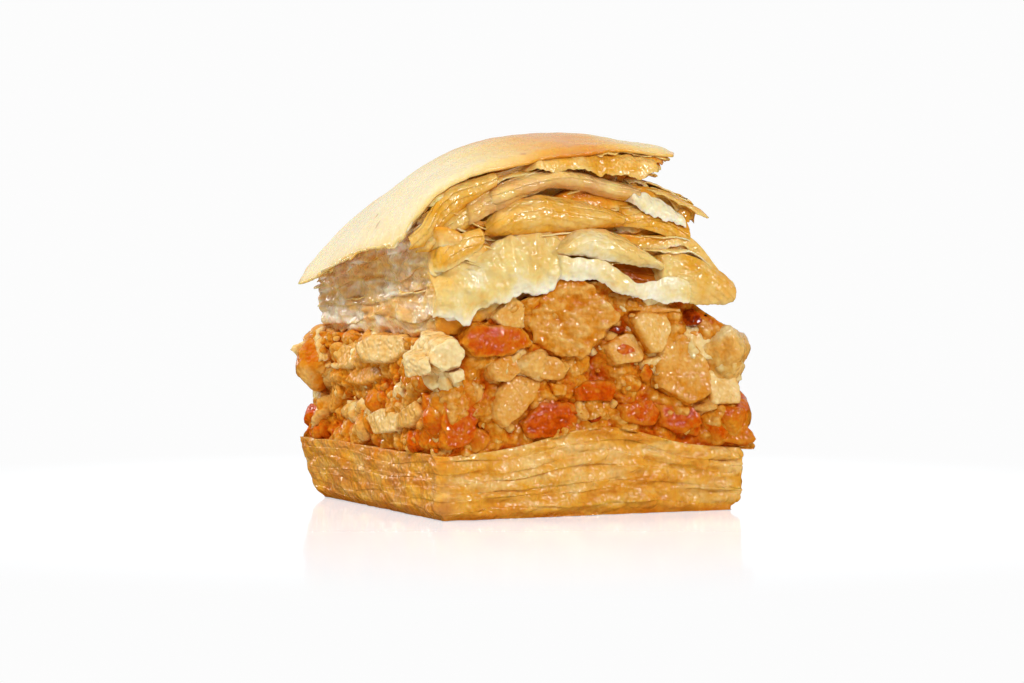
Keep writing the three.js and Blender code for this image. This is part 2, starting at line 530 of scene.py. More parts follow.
def make_foot():
    bm = drum(steps=680, levels=FOOT_SHEETS * ROWS)
    turn, reach, level = around(read(bm.verts))
    sheet, row = sheet_and_row(level, FOOT_SHEETS)
    inner = (sheet > 0) & (sheet < FOOT_SHEETS)
    low = sheet + 0.5 * wander(along_cut(turn, sheet), 11.0, 2) * (sheet > 0)
    high = sheet + 1 + 0.5 * wander(along_cut(turn, sheet + 1), 11.0, 2) * (sheet < FOOT_SHEETS - 1)
    level = lerp(low, high, ROW_RISE[row]) / FOOT_SHEETS
    x, y = foot_outline(turn, level)
    out_x, out_y = outwards(foot_outline, turn, level)
    height = foot_top(x, y) * level
    spot = np.stack([x, y, height], axis=1)
    left = ease(-x, 18, 21)
    gap = ease(wander(along_cut(turn, sheet), 8.0, 3), 0.1, 0.6) * inner * (1 - 0.8 * left)
    face = np.where(ROW_OUT[row] > 0, ROW_OUT[row], 0)
    push = 0.3 * gap * face - 0.2 * gap * (ROW_GAP[row] > 0.9)
    push += 0.3 * wander(along_cut(turn, sheet), 7.0, 4) * face * (1 - left)
    sagged = spot + wander(spot, 9.0, 10)[:, None] * (0, 0, 0.8)
    lens = 0.4 * wander(sagged / (4, 4, 1.1), 1.0, 5) + 0.3 * wander(sagged / (1.8, 1.8, 0.8), 1.0, 6)
    push += (lens + 0.1 * wander(spot, 0.8, 12)) * (1 - 0.6 * left)
    push += 0.25 * wander(spot, 7.0, 7)
    push -= 1.0 * (1 - ease(height, 0, 1.6)) ** 2 + 0.3
    push = push * ease(reach, 0.97, 1.0)
    x = x * reach + out_x * push
    y = y * reach + out_y * push
    height = height - 0.25 * gap * ROW_HANG[row] * ease(reach, 0.97, 1.0)
    write(bm.verts, np.stack([x, y, np.maximum(height, 0)], axis=1))
    stain = 0.3 * bell(x - HUMP_MIDDLE, 9.0) * ease(level, 0.76, 0.93)
    # Gap rows are painted darker amber, painted shade in the crevices. The left face is painted darker and,
    # with the rose below, pinker: partly its wet colour and partly painted shade on that side.
    toast = 0.48 + 0.08 * gap * ROW_GAP[row] + 0.08 * left + stain
    toast = toast + 0.13 * wander(spot / (3, 3, 1), 1.6, 8)
    # Towards the table the foot is painted darker orange: painted shade where it meets the floor.
    toast = toast + 0.2 * (1 - ease(height, 0, 1.5)) - 0.16 * ease(height, 5.5, 9) * (1 - left)
    wet = np.clip(0.8 + 0.3 * wander(spot, 5.0, 9), 0, 1)
    return finish(
        bm,
        "soaked_foot",
        filo_soaked,
        # The left face gets more of the darker wet pink: partly its wet colour, partly painted shade.
        {"toast": toast, "wet": wet, "rose": 0.15 + 0.6 * left},
        replaces=["base_pastry"],
    )


foot = make_foot()

# %% [markdown]
# ## The lid's surfaces
#
# The lid is read as three bundles of sheets that are pinched together at the front left and fan out
# to the right, where each bundle ends in its own beak. Four surfaces bound the bundles. A sheet is
# a level between 0, the underside, and 1, the baked skin, and its height is blended from them.

# %% Heights inside the lid
BUNDLES = (1 / 3, 2 / 3)
REACH_RIGHT = ((18.2, 19.8), (13.2, 16.9), (8.6, 12.8))
REACH_FRONT = (0.4, -0.8, -2.2)
REACH_BACK = (0.2, -0.6, -1.4)
LEFT_OVERHANG = 3.0
UNDER_SKIN = 0.5


def underside(x, y):
    rise = ease(x, -HALF, -3)
    fall = ease(x, 0, HALF)
    inside = lerp(29.4, 25.6, ease(y, -HALF / 2, HALF))
    return lerp(lerp(22.4, inside, rise), 26.8, fall)


def dome(x, y):
    """The baked skin: it swells up from its left edge, and suddenly so near the front cut."""
    depth = ease(y, -HALF, HALF)
    bulge = np.clip(1 - (y / HALF) ** 2, 0, 1)
    crown = lerp(lerp(46.0, 46.4, depth), 48.2, bulge)
    edge = 34.0 - 5.1 * ease(y, -10, 22)
    along = np.clip((x + HALF + LEFT_OVERHANG) / (12.8 + HALF + LEFT_OVERHANG), 0, 1)
    inside = 1 - (1 - along) ** lerp(5.0, 2.5, depth)
    at_front = 1 - 0.5 * (1 - along) ** 18 - 0.5 * (1 - along) ** 2.2
    share = lerp(at_front, inside, ease(y, -20, -9))
    return lerp(edge, crown, share) - 0.9 * ease(along, 0.7, 1)


def strata(x, y, level):
    """The height of a sheet at a point of the plan."""
    under = underside(x, y)
    skin = dome(x, y)
    low = lerp(lerp(0.84, 0.44, ease(x, -24, -11)), 0.37, ease(x, -9, 1))
    low = lerp(low, 0.43, ease(x, 5, 13))
    high = lerp(lerp(0.93, 0.62, ease(x, -24, -12)), 0.74, ease(x, -8, 0))
    first = lerp(under, skin, low) - 6.0 * ease(x, 12.5, 20.5)
    second = lerp(under, skin, high) - 2.6 * ease(x, 9, 18)
    lower = lerp(under, first, np.clip(3 * level, 0, 1))
    middle_part = lerp(first, second, np.clip(3 * level - 1, 0, 1))
    upper = lerp(second, skin, np.clip(3 * level - 2, 0, 1))
    return np.where(level <= BUNDLES[0], lower, np.where(level <= BUNDLES[1], middle_part, upper))


def lid_outline(turn, level, bundle=None):
    """The edge of a sheet, as cut by the knife and pulled back on the right."""
    u, v = square(turn)
    level = np.broadcast_to(level, u.shape)
    if bundle is None:
        bundle = np.clip(np.floor(3 * level - 1e-6), 0, 2).astype(int)
    within = np.clip(3 * level - bundle, 0, 1)
    right = np.choose(bundle, [lerp(*ends, within) for ends in REACH_RIGHT])
    front = HALF + np.choose(bundle, REACH_FRONT) - 0.6 * (1 - within)
    back = HALF + np.choose(bundle, REACH_BACK) - 0.6 * (1 - within)
    left = HALF + LEFT_OVERHANG * ease(level, 0, 0.8)
    x = np.where(u > 0, u * right, u * left)
    y = np.where(v > 0, v * back, v * front)
    front_left = lerp(3.0, 5.5, ease(level, 0.3, 0.55))
    x, y = round_corner(x, y, -left, -front, front_left)
    x, y = round_corner(x, y, right, -front, 2.5)
    x, y = round_corner(x, y, right, back, 2.5)
    return round_corner(x, y, -left, back, 3.0)


print("the lid is", round(float(dome(np.zeros(1), np.zeros(1))[0]), 1), "mm high at its middle")

# %% [markdown]
# The lid's cut is made as fifteen hanging sheets, five in each bundle. Where the gap between two
# sheets is closed they make one broad soft fold, so only eight or ten show at any one place. On the
# left the knife crushed the sheets together, and the cut there is crumbly instead.

# %% The body of the lid
LID_SHEETS = 15
IN_BUNDLE = 5
POCKET = (5.2, 30.0)


def make_lid_core():
    bm = drum(steps=620, levels=LID_SHEETS * ROWS)
    turn, reach, level = around(read(bm.verts))
    sheet, row = sheet_and_row(level, LID_SHEETS)
    bundle = np.minimum(sheet // IN_BUNDLE, 2)
    low = sheet + 0.42 * wander(along_cut(turn, sheet), 9.0, 11) * (sheet % IN_BUNDLE > 0)
    above = sheet + 1
    high = above + 0.42 * wander(along_cut(turn, above), 9.0, 11) * (above % IN_BUNDLE > 0)
    level = np.clip(lerp(low, high, ROW_RISE[row]) / LID_SHEETS, 0, 1)
    x, y = lid_outline(turn, level, bundle)
    out_x, out_y = outwards(lambda place, height: lid_outline(place, height, bundle), turn, level)
    on_wall = ease(reach, 0.95, 1.0)
    height = strata(x, y, level)
    spot = np.stack([x, y, height], axis=1)
    crushed = ease(-x, 15, 21) * ease(y, -21, -16) * (1 - ease(level, 0.8, 0.95))
    between_bundles = (sheet % IN_BUNDLE == 0) & (sheet > 0)
    gap = ease(wander(along_cut(turn, sheet), 8.0, 12), -0.25, 0.35)
    gap = np.where(between_bundles, 0.75 + 0.25 * gap, gap) * (1 - 0.7 * crushed) * (sheet > 0)
    reach_out = 0.5 + 0.55 * wander(along_cut(turn, sheet), 10.0, 13)
    face = np.where(ROW_OUT[row] > 0, ROW_OUT[row], 0)
    lip = ROW_LIP[row] * gap
    push = 0.95 * gap * face * reach_out
    push += 0.4 * face * wander(along_cut(turn, sheet), 6.0, 14) * (1 - crushed)
    push -= (0.5 + 1.1 * gap) * gap * (ROW_GAP[row] > 0.9)
    push += lip * (0.16 * wander(spot, 1.1, 15) + 0.08 * wander(spot, 0.6, 16))
    push += 0.16 * wander(spot / (2, 2, 1), 2.0, 17) + 0.05 * wander(spot, 0.9, 18) - 0.75
    push += crushed * (0.4 * wander(spot / (6, 6, 1), 0.55, 19, octaves=3) + 0.4 * wander(spot, 4.0, 20))
    pocket = bell(x - POCKET[0], 3.8) * bell(height - POCKET[1], 1.6) * (y < -15)
    rim = 1 - ease(level, 0, 0.05)
    push = (push - 0.9 * pocket - 0.8 * rim) * on_wall
    shrink = lerp(0.97, 1.0, on_wall)
    x = x * reach * shrink + out_x * push
    y = y * reach * shrink + out_y * push
    hang = (0.3 + 0.9 * gap) * (0.75 + 0.4 * wander(along_cut(turn, sheet), 5.0, 21))
    hang = hang * gap * ROW_HANG[row] + 0.25 * lip * wander(spot, 1.0, 22)
    z = strata(x, y, np.clip(level, 0.01, 0.955)) - hang * on_wall
    z = np.minimum(z, dome(x, y) - UNDER_SKIN) - 0.5 * rim * on_wall * (1 + wander(spot, 1.6, 27))
    write(bm.verts, np.stack([x, y, z], axis=1))
    tone = 0.46 + 0.2 * wander(along_cut(turn, sheet), 12.0, 23) + 0.12 * ease(level, 0.3, 0.6)
    toast = tone - 0.3 * lip * ease(wander(along_cut(turn, sheet), 5.0, 24), -0.3, 0.4)
    # Gap rows are painted deep amber, painted shade in the crevices in the colour of syrup, less to the
    # right. The pocket in the opening is painted deep orange, a painted glow.
    toast = lerp(toast, 0.95 - 0.4 * ease(x, 4, 9), gap * ROW_GAP[row]) + 0.45 * pocket
    flakes = wander(spot / (7, 7, 1), 0.45, 29)
    toast = toast + crushed * (0.2 * flakes - 0.28)
    wet = np.clip(0.7 + 0.3 * wander(spot, 3.0, 25) - 0.2 * crushed, 0, 1)
    strip = ease(wander(along_cut(turn, sheet), 9.0, 26), 0.0, 0.5) * ease(level, 0.5, 0.62)
    return finish(
        bm,
        "lid_core",
        filo_cut,
        {"toast": toast, "wet": wet, "rose": np.maximum(0.8 * crushed, strip)},
        replaces=["top_pastry"],
    )


lid_core = make_lid_core()

# %% [markdown]
# ## Loose leaves
#
# Single sheets stand out of the cut with torn edges, but only in places. Each is a ring that starts
# inside the body. A stack of circles is made first, one for each leaf, and pulled out into rings all
# at once. Noise then says how far each leaf comes out, and where it does it droops over the one
# below. A leaf that doesn't come out stays hidden in the body. On the right, where one bundle ends
# short of the one below it, longer rippled leaves cover the terrace that is left.

# %% The rings of loose leaves
LEAF_THICKNESS = 0.18
LEAF_ROOT = 3.2


def make_leaves(name, levels, seed, steps=560, rings=8, root=LEAF_ROOT, right_only=False):
    random = np.random.default_rng(seed)
    bm = bmesh.new()
    for index in range(len(levels)):
        lifted = Matrix.Translation((0, 0, index))
        bmesh.ops.create_circle(bm, segments=steps, radius=1, matrix=lifted)
    made = bmesh.ops.extrude_edge_only(bm, edges=bm.edges[:])
    outer = [part for part in made["geom"] if isinstance(part, bmesh.types.BMVert)]
    bmesh.ops.scale(bm, vec=(2, 2, 1), verts=outer)
    spokes = [edge for edge in bm.edges if abs(edge.calc_length() - 1) < 0.01]
    bmesh.ops.subdivide_edges(bm, edges=spokes, cuts=rings - 1)
    turn, reach, index = around(read(bm.verts))
    leaf = np.rint(index).astype(int)
    share = np.clip(reach - 1, 0, 1) ** 0.6
    own_reach = random.uniform(-0.5, 0.5, len(levels))
    own_droop = random.uniform(0.4, 1.0, len(levels))
    spot = along_cut(turn, leaf)
    level = np.array(levels)[leaf] + 0.012 * wander(spot, 8.0, seed)
    level = np.clip(level, 0.01, 0.96)
    edge_x, edge_y = lid_outline(turn, level)
    out_x, out_y = outwards(lid_outline, turn, level)
    ragged = 0.4 * wander(spot, 2.6, seed + 1) + 0.16 * wander(spot, 0.9, seed + 2, octaves=2)
    crushed = ease(-edge_x, 15, 21) * (1 - ease(level, 0.75, 0.9))
    shows = 1.3 * wander(spot, 11.0, seed + 3) + own_reach[leaf] - 0.35 - 1.2 * crushed
    lift = 0.0
    if right_only:
        right = 1 - ease(np.abs((turn + 0.5) % 1 - 0.5), 0.095, 0.12)
        shows = lerp(-2.2, shows, right)
        folded = np.stack([edge_x * reach, edge_y, 9.0 * leaf], axis=1)
        lift = 0.3 + 0.35 * wander(folded, 2.6, seed + 8)
    length = root + np.clip(shows, -2.2, 1.0) + ragged
    out = share * length - root
    fall = own_droop[leaf] * (0.9 + 0.8 * wander(spot, 6.0, seed + 4)) * ease(out, -1.0, 1.4) ** 2
    ripple = 0.22 * wander(spot, 3.2, seed + 5) * share
    x = edge_x + out_x * out
    y = edge_y + out_y * out
    z = np.minimum(strata(x, y, level) - 1.7 * fall + ripple + lift, dome(x, y) - UNDER_SKIN)
    write(bm.verts, np.stack([x, y, z], axis=1))
    margin = ease(share, 0.86, 1.0)
    toast = 0.46 + 0.14 * wander(spot, 7.0, seed + 6) - 0.2 * margin
    wet = np.clip(0.7 + 0.4 * wander(spot, 4.0, seed + 7), 0, 1)
    attributes = {"toast": toast, "wet": wet, "rose": np.zeros_like(wet)}
    return finish(bm, name, filo_leaf, attributes, thickness=LEAF_THICKNESS)


lower_leaves = make_leaves("lower_leaves", (0.06, 0.15, 0.24, 0.31), seed=21)
middle_leaves = make_leaves("middle_leaves", (0.39, 0.48, 0.56, 0.64), seed=22)
upper_leaves = make_leaves("upper_leaves", (0.71, 0.78, 0.85, 0.91, 0.95), seed=23)
TERRACES = (0.3, 0.33, 0.62, 0.66)
terrace_leaves = make_leaves("terrace_leaves", TERRACES, 24, rings=14, root=8.0, right_only=True)

# %% [markdown]
# ## The folds of the front cut
#
# The front cut is the face of the piece, and its largest folds are laid one by one. Each one is a
# strip of sheet that runs along the cut: where its upper and lower edges are, how far its upper
# edge, its belly and its lower edge stand out of the cut, and how torn and crumpled it is. Small
# steps down a whole fold are the edges of the sheets that are stuck to it.

# %% Folds laid one by one
FRONT_FOLDS = {
    # name: (upper edge out, belly out, lower edge out, toast, edge toast, torn, crumpled,
    #        [(x, height of the upper edge, height of the lower edge), ...])
    "pale_sheet": (-0.7, 1.3, 0.5, 0.28, 0.06, 0.55, 0.6, [
        (-21.4, 30.5, 25), (-18, 32, 24.3), (-15.3, 33, 26.2), (-13, 34.4, 27), (-11, 35.2, 28),
        (-8.6, 35.5, 27.7), (-6.7, 35.4, 28.7), (-5, 35, 30.2), (-3.2, 33.6, 31.4),
    ]),
    "lower_lip": (1.1, 1.5, 1.0, 0.17, 0.06, 0.4, 0.35, [
        (-7, 32.9, 29.8), (-3.9, 32.3, 29.5), (0.3, 31.9, 29.7), (1.7, 31.2, 28.4), (3.6, 30.1, 28),
        (4.7, 28.9, 27.7), (5.8, 28.9, 27.6), (8.1, 29.3, 27.2), (9.4, 29.9, 27), (12, 29.4, 26.8),
        (14, 28.2, 27.2),
    ]),
    # A deep orange sheet set back in the opening: its colour is a painted glow.
    "glowing_sheet": (-0.9, -0.3, -0.2, 0.86, 0.9, 0.0, 0.1, [
        (-1, 32.4, 29.4), (3, 31.8, 28.4), (6.5, 31.2, 28.2), (10, 30.6, 28.4),
    ]),
    "rolled_fold": (-0.4, 1.9, 1.0, 0.26, 0.14, 0.22, 0.25, [
        (-6.3, 33.2, 32.6), (-4.7, 34.6, 32.8), (-2.5, 35.8, 32.6), (-0.6, 36.1, 32.2),
        (1.7, 35.6, 32), (4.5, 34.4, 31.5), (7, 32.9, 31), (9.6, 31.2, 30.4),
    ]),
    "corner_drape": (-2.4, -1.5, -2.2, 0.42, 0.6, 0.1, 0.15, [
        (-23.4, 34.6, 33.4), (-22, 37.2, 34), (-20.5, 39.6, 35.3), (-18.5, 41, 37.2),
        (-16, 41.8, 39.3), (-12, 43, 41.3),
    ]),
    "corner_under": (-2.4, -1.4, -2.0, 0.42, 0.55, 0.15, 0.2, [
        (-22.6, 34.4, 33), (-20.5, 36.2, 33.8), (-18, 38.3, 35.2), (-15, 39.8, 37.2),
    ]),
    "corner_curl": (-0.9, 0.5, -0.2, 0.45, 0.2, 0.2, 0.3, [
        (-21.3, 33, 30.4), (-20, 34.4, 31), (-18, 35.2, 32.2), (-15, 36, 34),
    ]),
    "beak_sheet": (0.0, 1.0, 0.2, 0.4, 0.3, 0.25, 0.3, [
        (8, 32.4, 27.6), (11, 33, 26.8), (14, 32.2, 26.5), (17, 30.6, 26.5), (20.2, 28.4, 26.8),
    ]),
    "golden_drape": (-1.3, 0.9, -0.6, 0.41, 0.56, 0.1, 0.12, [
        (-14.5, 36.8, 35), (-11, 39.2, 35.2), (-7.5, 40, 35.4), (-3, 39.5, 35.4), (1, 38.6, 35.9),
        (5, 37.6, 36.6),
    ]),
    "hollow_leaf": (-1.3, -0.2, -0.3, 0.5, 0.42, 0.15, 0.15, [
        (3, 38.6, 36.4), (7, 39, 35.9), (10.5, 38.3, 34.8), (14, 36.6, 34),
    ]),
    "rosy_roll": (-2.4, -0.2, -1.4, 0.35, 0.48, 0.1, 0.18, [
        (-15, 40.2, 38), (-10, 42.2, 39.9), (-5, 43.4, 41), (-1, 43, 40.7), (3, 41.9, 39.6),
        (8, 41, 39),
    ]),
    "rosy_strip": (-2.6, -1.0, -1.5, 0.4, 0.3, 0.25, 0.25, [
        (-17.5, 39, 36.2), (-14, 40.6, 37.6), (-10, 41.6, 39.4), (-6.5, 42.3, 40.6),
    ]),
    "cream_flap": (-0.9, 0.2, 0.1, 0.12, 0.0, 0.5, 0.4, [
        (4.6, 40.6, 39), (7, 40.4, 38.3), (9, 39.6, 37.7), (11, 38.4, 36.8), (13, 36.8, 35.8),
    ]),
    "under_skin": (-2.7, -1.4, -1.0, 0.44, 0.36, 0.45, 0.25, [
        (-9, 43.8, 42.8), (-5, 44.9, 43.2), (-1, 45.3, 43), (3, 45.2, 42.4), (7, 44.9, 42.3),
        (10.5, 44.6, 43),
    ]),
}
FOLD_ALONG = 130
FOLD_ACROSS = 44
FOLD_THICKNESS = 0.3
STUCK_SHEET = 0.9
LOWEST, MIDDLE, HIGHEST = 0, 34, 60


def smooth_line(at, known_at, known):
    """A line through known points, with its bends rounded off."""
    spread = (known_at[-1] - known_at[0]) * 0.03
    shifts = np.linspace(-1, 1, 7) * spread
    return np.mean([np.interp(at + shift, known_at, known) for shift in shifts], axis=0)


def add_fold(bm, seed, shape):
    root_out, belly_out, edge_out, toast, edge_toast, torn, crumpled, stations = shape
    made = bmesh.ops.create_grid(bm, x_segments=FOLD_ALONG, y_segments=FOLD_ACROSS, size=1)["verts"]
    grid = read(made)
    station_x, root_z, edge_z = np.array(stations, float).T
    x = lerp(station_x[0], station_x[-1], (grid[:, 0] + 1) / 2)
    down = (1 - grid[:, 1]) / 2
    top = smooth_line(x, station_x, root_z)
    bottom = smooth_line(x, station_x, edge_z)
    line = np.stack([x, np.zeros_like(x), np.full_like(x, 30.0 * seed)], axis=1)
    tear = wander(line, 3.4, 71) + 0.5 * wander(line, 1.1, 72) + 0.3 * wander(line, 0.45, 78)
    bottom = bottom + torn * tear
    top = top + 0.5 * torn * wander(line, 1.3, 73)
    z = lerp(top, bottom, down)
    spot = np.stack([x, 30.0 * seed + np.zeros_like(x), z], axis=1)
    out = lerp(root_out, edge_out, down) + (belly_out - (root_out + edge_out) / 2) * 4 * down * (1 - down)
    layered = 0.5 * max(0, 0.45 - torn)
    sheets = (top - bottom) * down / STUCK_SHEET + 0.5 * wander(line, 6.0, 79)
    out = out + layered * (sheets % 1 - 0.5)
    out = out + crumpled * (0.7 * wander(spot, 2.6, 74) + 0.3 * wander(spot, 1.0, 75))
    ends = ease(np.abs(grid[:, 0]), 0.82, 1.0)
    out = out - 2.2 * ends
    write(made, np.stack([x, -HALF - out, z], axis=1))
    margin = ease(down, 0.7, 1.0)
    tone = lerp(toast, edge_toast, margin) + 0.1 * wander(spot, 3.0, 76)
    return tone, np.clip(0.7 + 0.3 * wander(spot, 2.5, 77), 0, 1), len(made)


def make_folds(piece, lowest, highest):
    """One piece of all the folds whose first height lies between these two."""
    bm = bmesh.new()
    tones, wets, roses = [], [], []
    for seed, (name, shape) in enumerate(FRONT_FOLDS.items()):
        if not lowest <= shape[-1][0][1] < highest:
            continue
        tone, wet, count = add_fold(bm, seed, shape)
        tones.append(tone)
        wets.append(wet)
        roses.append(np.full(count, 1.0 if name.startswith("rosy") else 0.0))
    attributes = {"toast": np.concatenate(tones), "wet": np.concatenate(wets)}
    attributes["rose"] = np.concatenate(roses)
    return finish(bm, piece, filo_leaf, attributes, thickness=FOLD_THICKNESS)


lower_folds = make_folds("lower_folds", LOWEST, MIDDLE)
upper_folds = make_folds("upper_folds", MIDDLE, HIGHEST)

# %% [markdown]
# ## The baked skin
#
# The top sheets were brushed with butter and baked into one smooth, glossy shell. It is a grid that
# is drawn out to the lid's own outline and laid on the dome, with its front edge rolled down a
# little where the knife dragged it.

# %% The skin
SKIN_THICKNESS = 0.35
SKIN_GRID = 200


def grid_turn(u, v):
    """How far round the square a grid's vertex is, and its share of the way out from the middle."""
    reach = np.maximum(np.abs(u), np.abs(v))
    safe = np.maximum(reach, 1e-6)
    u, v = u / safe, v / safe
    edge = 0.999999
    on_side = [u > edge, v > edge, u < -edge]
    sides = np.select(on_side, [(v + 1) / 2, 1 + (1 - u) / 2, 2 + (1 - v) / 2], 3 + (u + 1) / 2)
    return ((sides - 0.5) / 4) % 1, reach


def make_skin():
    bm = bmesh.new()
    bmesh.ops.create_grid(bm, x_segments=SKIN_GRID, y_segments=SKIN_GRID, size=1)
    flat = read(bm.verts)
    turn, reach = grid_turn(flat[:, 0], flat[:, 1])
    level = np.ones_like(turn)
    edge_x, edge_y = lid_outline(turn, level)
    out_x, out_y = outwards(lid_outline, turn, level)
    spot = np.stack([edge_x, edge_y, np.zeros_like(turn)], axis=1)
    ragged = 0.35 + 0.4 * wander(spot, 5.0, 31) + 0.16 * wander(spot, 1.0, 32)
    x = edge_x * reach + out_x * ragged * reach**6
    y = edge_y * reach + out_y * ragged * reach**6
    plan = np.stack([x, y, np.zeros_like(x)], axis=1)
    inward = (1 - reach) * HALF
    roll = 0.6 * (1 - ease(inward, 0, 2.5)) ** 2
    height = dome(x, y) + 0.1 - roll + 0.18 * wander(plan, 7.0, 33) + 0.05 * wander(plan, 2.0, 34)
    write(bm.verts, np.stack([x, y, height], axis=1))
    # The browning follows x alone. It is golden in the middle; to the left it fades to cream partly as a
    # painted highlight where the lamp burns the skin out, and to the right it is lightened partly as
    # painted light where the dome turns away from the lamp.
    toast = 0.15 + 0.43 * ease(x, -18, -1) - 0.32 * ease(x, 0, 9) + 0.1 * (1 - ease(inward, 0, 1.0))
    attributes = {"toast": toast, "wet": np.full_like(x, 0.6), "rose": np.zeros_like(x)}
    return finish(bm, "baked_skin", filo_skin, attributes, thickness=SKIN_THICKNESS)


skin = make_skin()

# %% [markdown]
# ## The bed of nuts
#
# Caramel fills the space between the chopped nuts. It is a lumpy body, set back from the cut so
# that the nuts stand out of it.

# %% The caramel body
FILLING_GAP = 0.1


def filling_ceiling(x, y):
    return underside(x, y) - FILLING_GAP - 4.2 * ease(x, 11, HALF)


def filling_outline(turn, level):
    u, v = square(turn)
    toe = 1 - ease(level, 0.02, 0.3)
    shoulder = bell(level - 0.8, 0.2)
    left = HALF + (2.0 * toe + 2.2 * shoulder) * ease(v, 0, 1)
    right = HALF + 1.6 * toe * (1 - ease(v, -1, 0.4))
    x = np.where(u > 0, u * right, u * left)
    return round_corners(x, v * HALF, 2.5)


def make_caramel():
    bm = drum(steps=520, levels=90)
    turn, reach, level = around(read(bm.verts))
    x, y = filling_outline(turn, level)
    out_x, out_y = outwards(filling_outline, turn, level)
    low = foot_top(x, y) - 0.2
    height = lerp(low, filling_ceiling(x, y), level)
    spot = np.stack([x, y, height], axis=1)
    lumps = wander(spot, 3.4, 41)
    grains = grain_height(spot, 1.5)
    fine = grain_height(spot + 40, 0.8)
    push = (-1.2 + 0.9 * lumps + 0.6 * grains + 0.4 * fine) * ease(reach, 0.95, 1.0)
    points = np.stack([x * reach + out_x * push, y * reach + out_y * push, height], axis=1)
    write(bm.verts, points)
    tone = 0.76 - 0.22 * grains - 0.12 * lumps - 0.1 * fine
    return finish(bm, "caramel_body", caramel, {"tone": tone}, replaces=["nut_filling"])


caramel_body = make_caramel()

# %% [markdown]
# ## One chopped nut
#
# A chopped nut is a lump with a few flat knife cuts. Each cut is a plane at some distance from the
# nut's middle. Going out from the middle in any direction, the nearest plane is where the nut ends,
# and taking a soft nearest instead of a sharp one rounds the edges as syrup and heat do.

# %% Nuts from knife cuts
def add_chunk(bm, detail, cuts, longest, place, turned, wrinkle, tones, random, sharp=34):
    """Adds one nut, nowhere further than `longest` from its middle. Returns its vertices' tones."""
    normals, distances = cuts
    made = bmesh.ops.create_icosphere(bm, subdivisions=detail, radius=1)["verts"]
    rays = read(made)
    rays /= np.linalg.norm(rays, axis=1)[:, None]
    near = np.clip(rays @ normals.T, 0, None) / distances
    reach = ((near**sharp).sum(axis=1) + longest**-sharp) ** (-1 / sharp)
    points = rays * reach[:, None]
    weight = (near / near.max(axis=1)[:, None]) ** 14
    facing = weight @ normals
    facing /= np.linalg.norm(facing, axis=1)[:, None]
    seed = random.uniform(0, 90)
    size = reach.mean()
    folded = (points + seed) * (0.5, 1.0, 1.0)
    wrinkles = 0.5 - np.abs(wander(folded, 1.5, 51)) + 0.5 * wander(folded, 0.6, 52)
    lumps = 0.1 * size * wander(points + seed, 2.0 * size, 53) + 0.06 * wander(points + seed, 0.8, 54)
    points += facing * (1.4 * wrinkle * wrinkles + lumps)[:, None]
    write(made, points @ np.array(turned).T + np.array(place))
    return (weight * tones).sum(axis=1) / weight.sum(axis=1) - 0.4 * wrinkle * wrinkles


def random_cuts(random, count, size, flatness):
    """Knife cuts all round a nut: near ones make it thin, far ones long."""
    normals = random.normal(size=(count, 3))
    normals /= np.linalg.norm(normals, axis=1)[:, None]
    distances = size * random.uniform(flatness, 1.0, count)
    return normals, distances


# %% [markdown]
# ## The nuts that show at the front
#
# The large nuts at the two front cuts are laid one by one. Each has the outline that the cut shows,
# in millimetres along the cut and up from the plate, and each edge of the outline becomes a knife cut.

